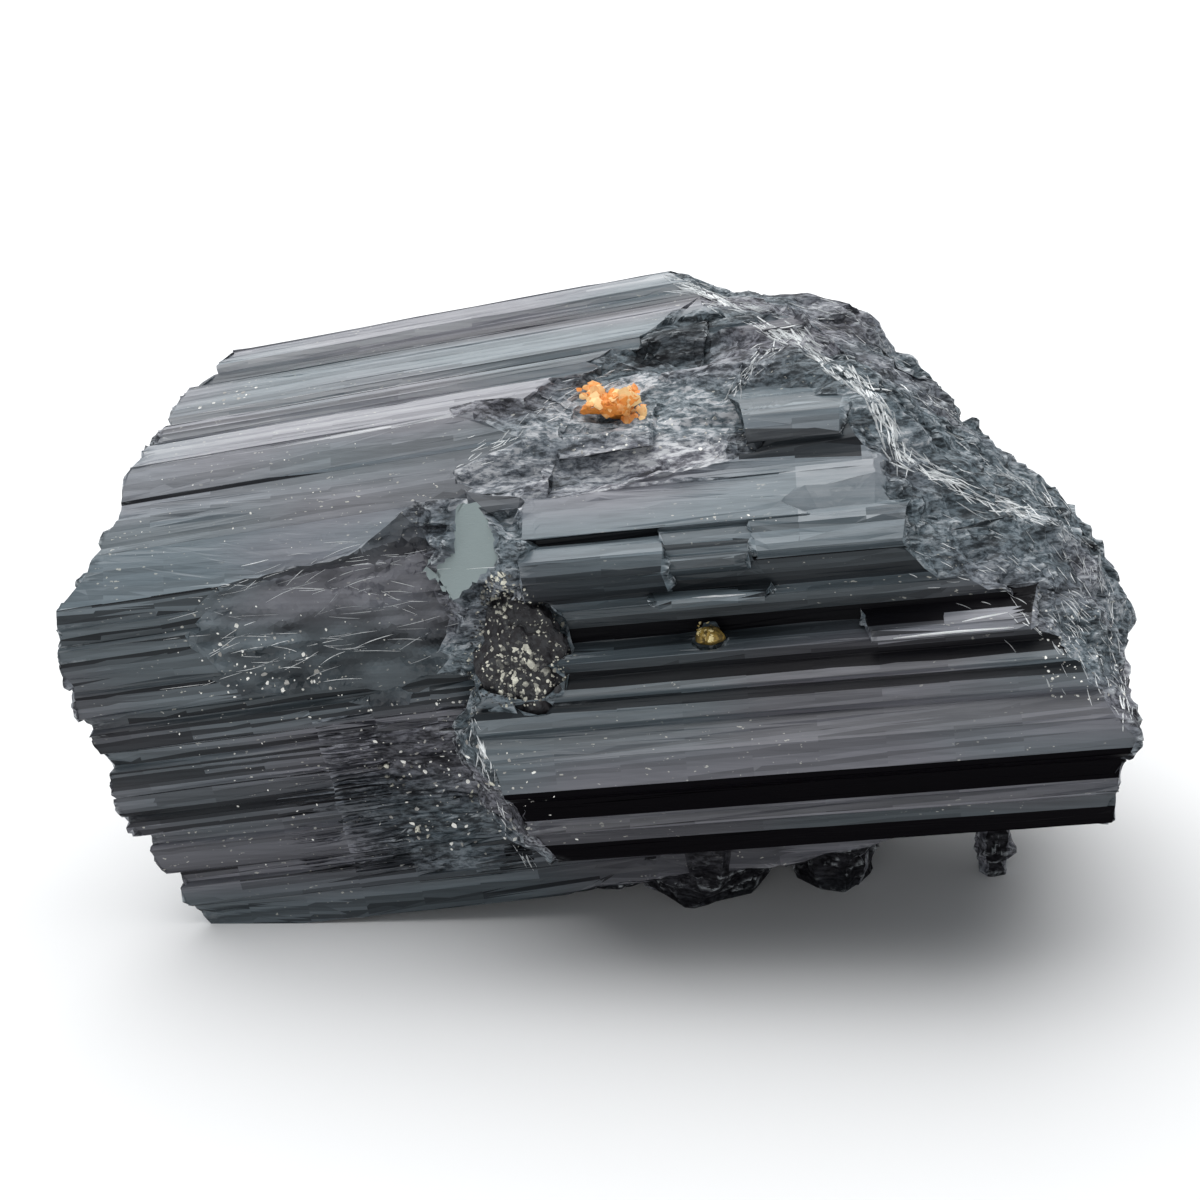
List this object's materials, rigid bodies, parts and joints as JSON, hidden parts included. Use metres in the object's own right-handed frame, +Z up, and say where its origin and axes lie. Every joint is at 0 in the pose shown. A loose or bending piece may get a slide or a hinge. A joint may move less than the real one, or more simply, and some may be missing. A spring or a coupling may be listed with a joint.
{
  "type": "tourmaline crystal",
  "caption": "Black tourmaline specimen: long ribbed prisms grown together, stepped in front, broken rough at the ends and top, lying on a flat base patch.",
  "frame": {"origin": "middle of the bounding box's base, on the surface that the crystal lies on", "axes": "+X along the crystal's length towards its broken right end, +Z up, -Y towards the front with the stepped crystal"},
  "size_m": [0.1026, 0.0584, 0.0591],
  "materials": {
    "tourmaline": "black, satin to glassy along the ribs and rough where it is broken",
    "orange_feldspar": "orange, iron stained, grainy",
    "yellow_feldspar": "dull yellow, grainy",
    "pale_grains": "cream to grey grains with black between them"
  },
  "bodies": {
    "root": {"tourmaline_crystals": "tourmaline", "iron_stained_feldspar": "orange_feldspar", "yellow_feldspar_grain": "yellow_feldspar", "pale_grain_crust": "pale_grains"}
  },
  "joints": []
}
